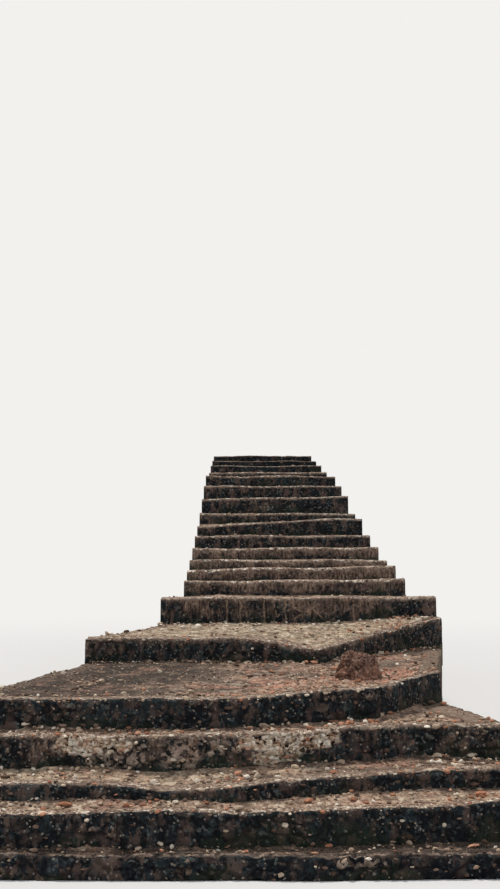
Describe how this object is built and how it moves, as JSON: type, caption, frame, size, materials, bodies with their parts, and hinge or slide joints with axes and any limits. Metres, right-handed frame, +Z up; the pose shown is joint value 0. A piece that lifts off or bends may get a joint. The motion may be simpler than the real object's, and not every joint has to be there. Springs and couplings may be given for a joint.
{
  "type": "outdoor stone steps",
  "caption": "Old outdoor masonry steps climbing a slope: broad worn kerbs with packed beds, a landing whose edge turns uphill, then a narrower straight flight to a top landing.",
  "frame": {"origin": "middle of the base, on the lowest ground, under the middle of the whole flight", "axes": "+Y runs uphill along the steps, +X to the right when climbing, +Z up"},
  "size_m": [3.85, 12.1696, 3.094],
  "materials": {
    "kerb_masonry": "rough rendered rubble with worn pale nosings, dark stains and moss",
    "packed_bed": "packed gravel and earth, dusty, with loose chips",
    "wall_masonry": "rough rubble stones laid in mortar",
    "core_fill": "rubble and earth fill"
  },
  "bodies": {
    "root": {"kerb_01": "kerb_masonry", "kerb_02": "kerb_masonry", "kerb_03": "kerb_masonry", "kerb_04": "kerb_masonry", "kerb_05": "kerb_masonry", "kerb_06": "kerb_masonry", "kerb_07": "kerb_masonry", "kerb_08": "kerb_masonry", "kerb_09": "kerb_masonry", "kerb_10": "kerb_masonry", "kerb_11": "kerb_masonry", "kerb_12": "kerb_masonry", "kerb_13": "kerb_masonry", "kerb_14": "kerb_masonry", "kerb_15": "kerb_masonry", "kerb_16": "kerb_masonry", "kerb_17": "kerb_masonry", "kerb_18": "kerb_masonry", "kerb_19": "kerb_masonry", "kerb_20": "kerb_masonry", "kerb_21": "kerb_masonry", "tread_01": "packed_bed", "tread_02": "packed_bed", "tread_03": "packed_bed", "tread_04": "packed_bed", "tread_05": "packed_bed", "tread_06": "packed_bed", "tread_07": "packed_bed", "tread_08": "packed_bed", "tread_09": "packed_bed", "tread_10": "packed_bed", "tread_11": "packed_bed", "tread_12": "packed_bed", "tread_13": "packed_bed", "tread_14": "packed_bed", "tread_15": "packed_bed", "tread_16": "packed_bed", "tread_17": "packed_bed", "tread_18": "packed_bed", "tread_19": "packed_bed", "tread_20": "packed_bed", "tread_21": "packed_bed", "left_side_wall": "wall_masonry", "right_side_wall": "wall_masonry", "back_wall": "wall_masonry", "rubble_core": "core_fill", "fallen_block": "kerb_masonry"}
  },
  "joints": []
}
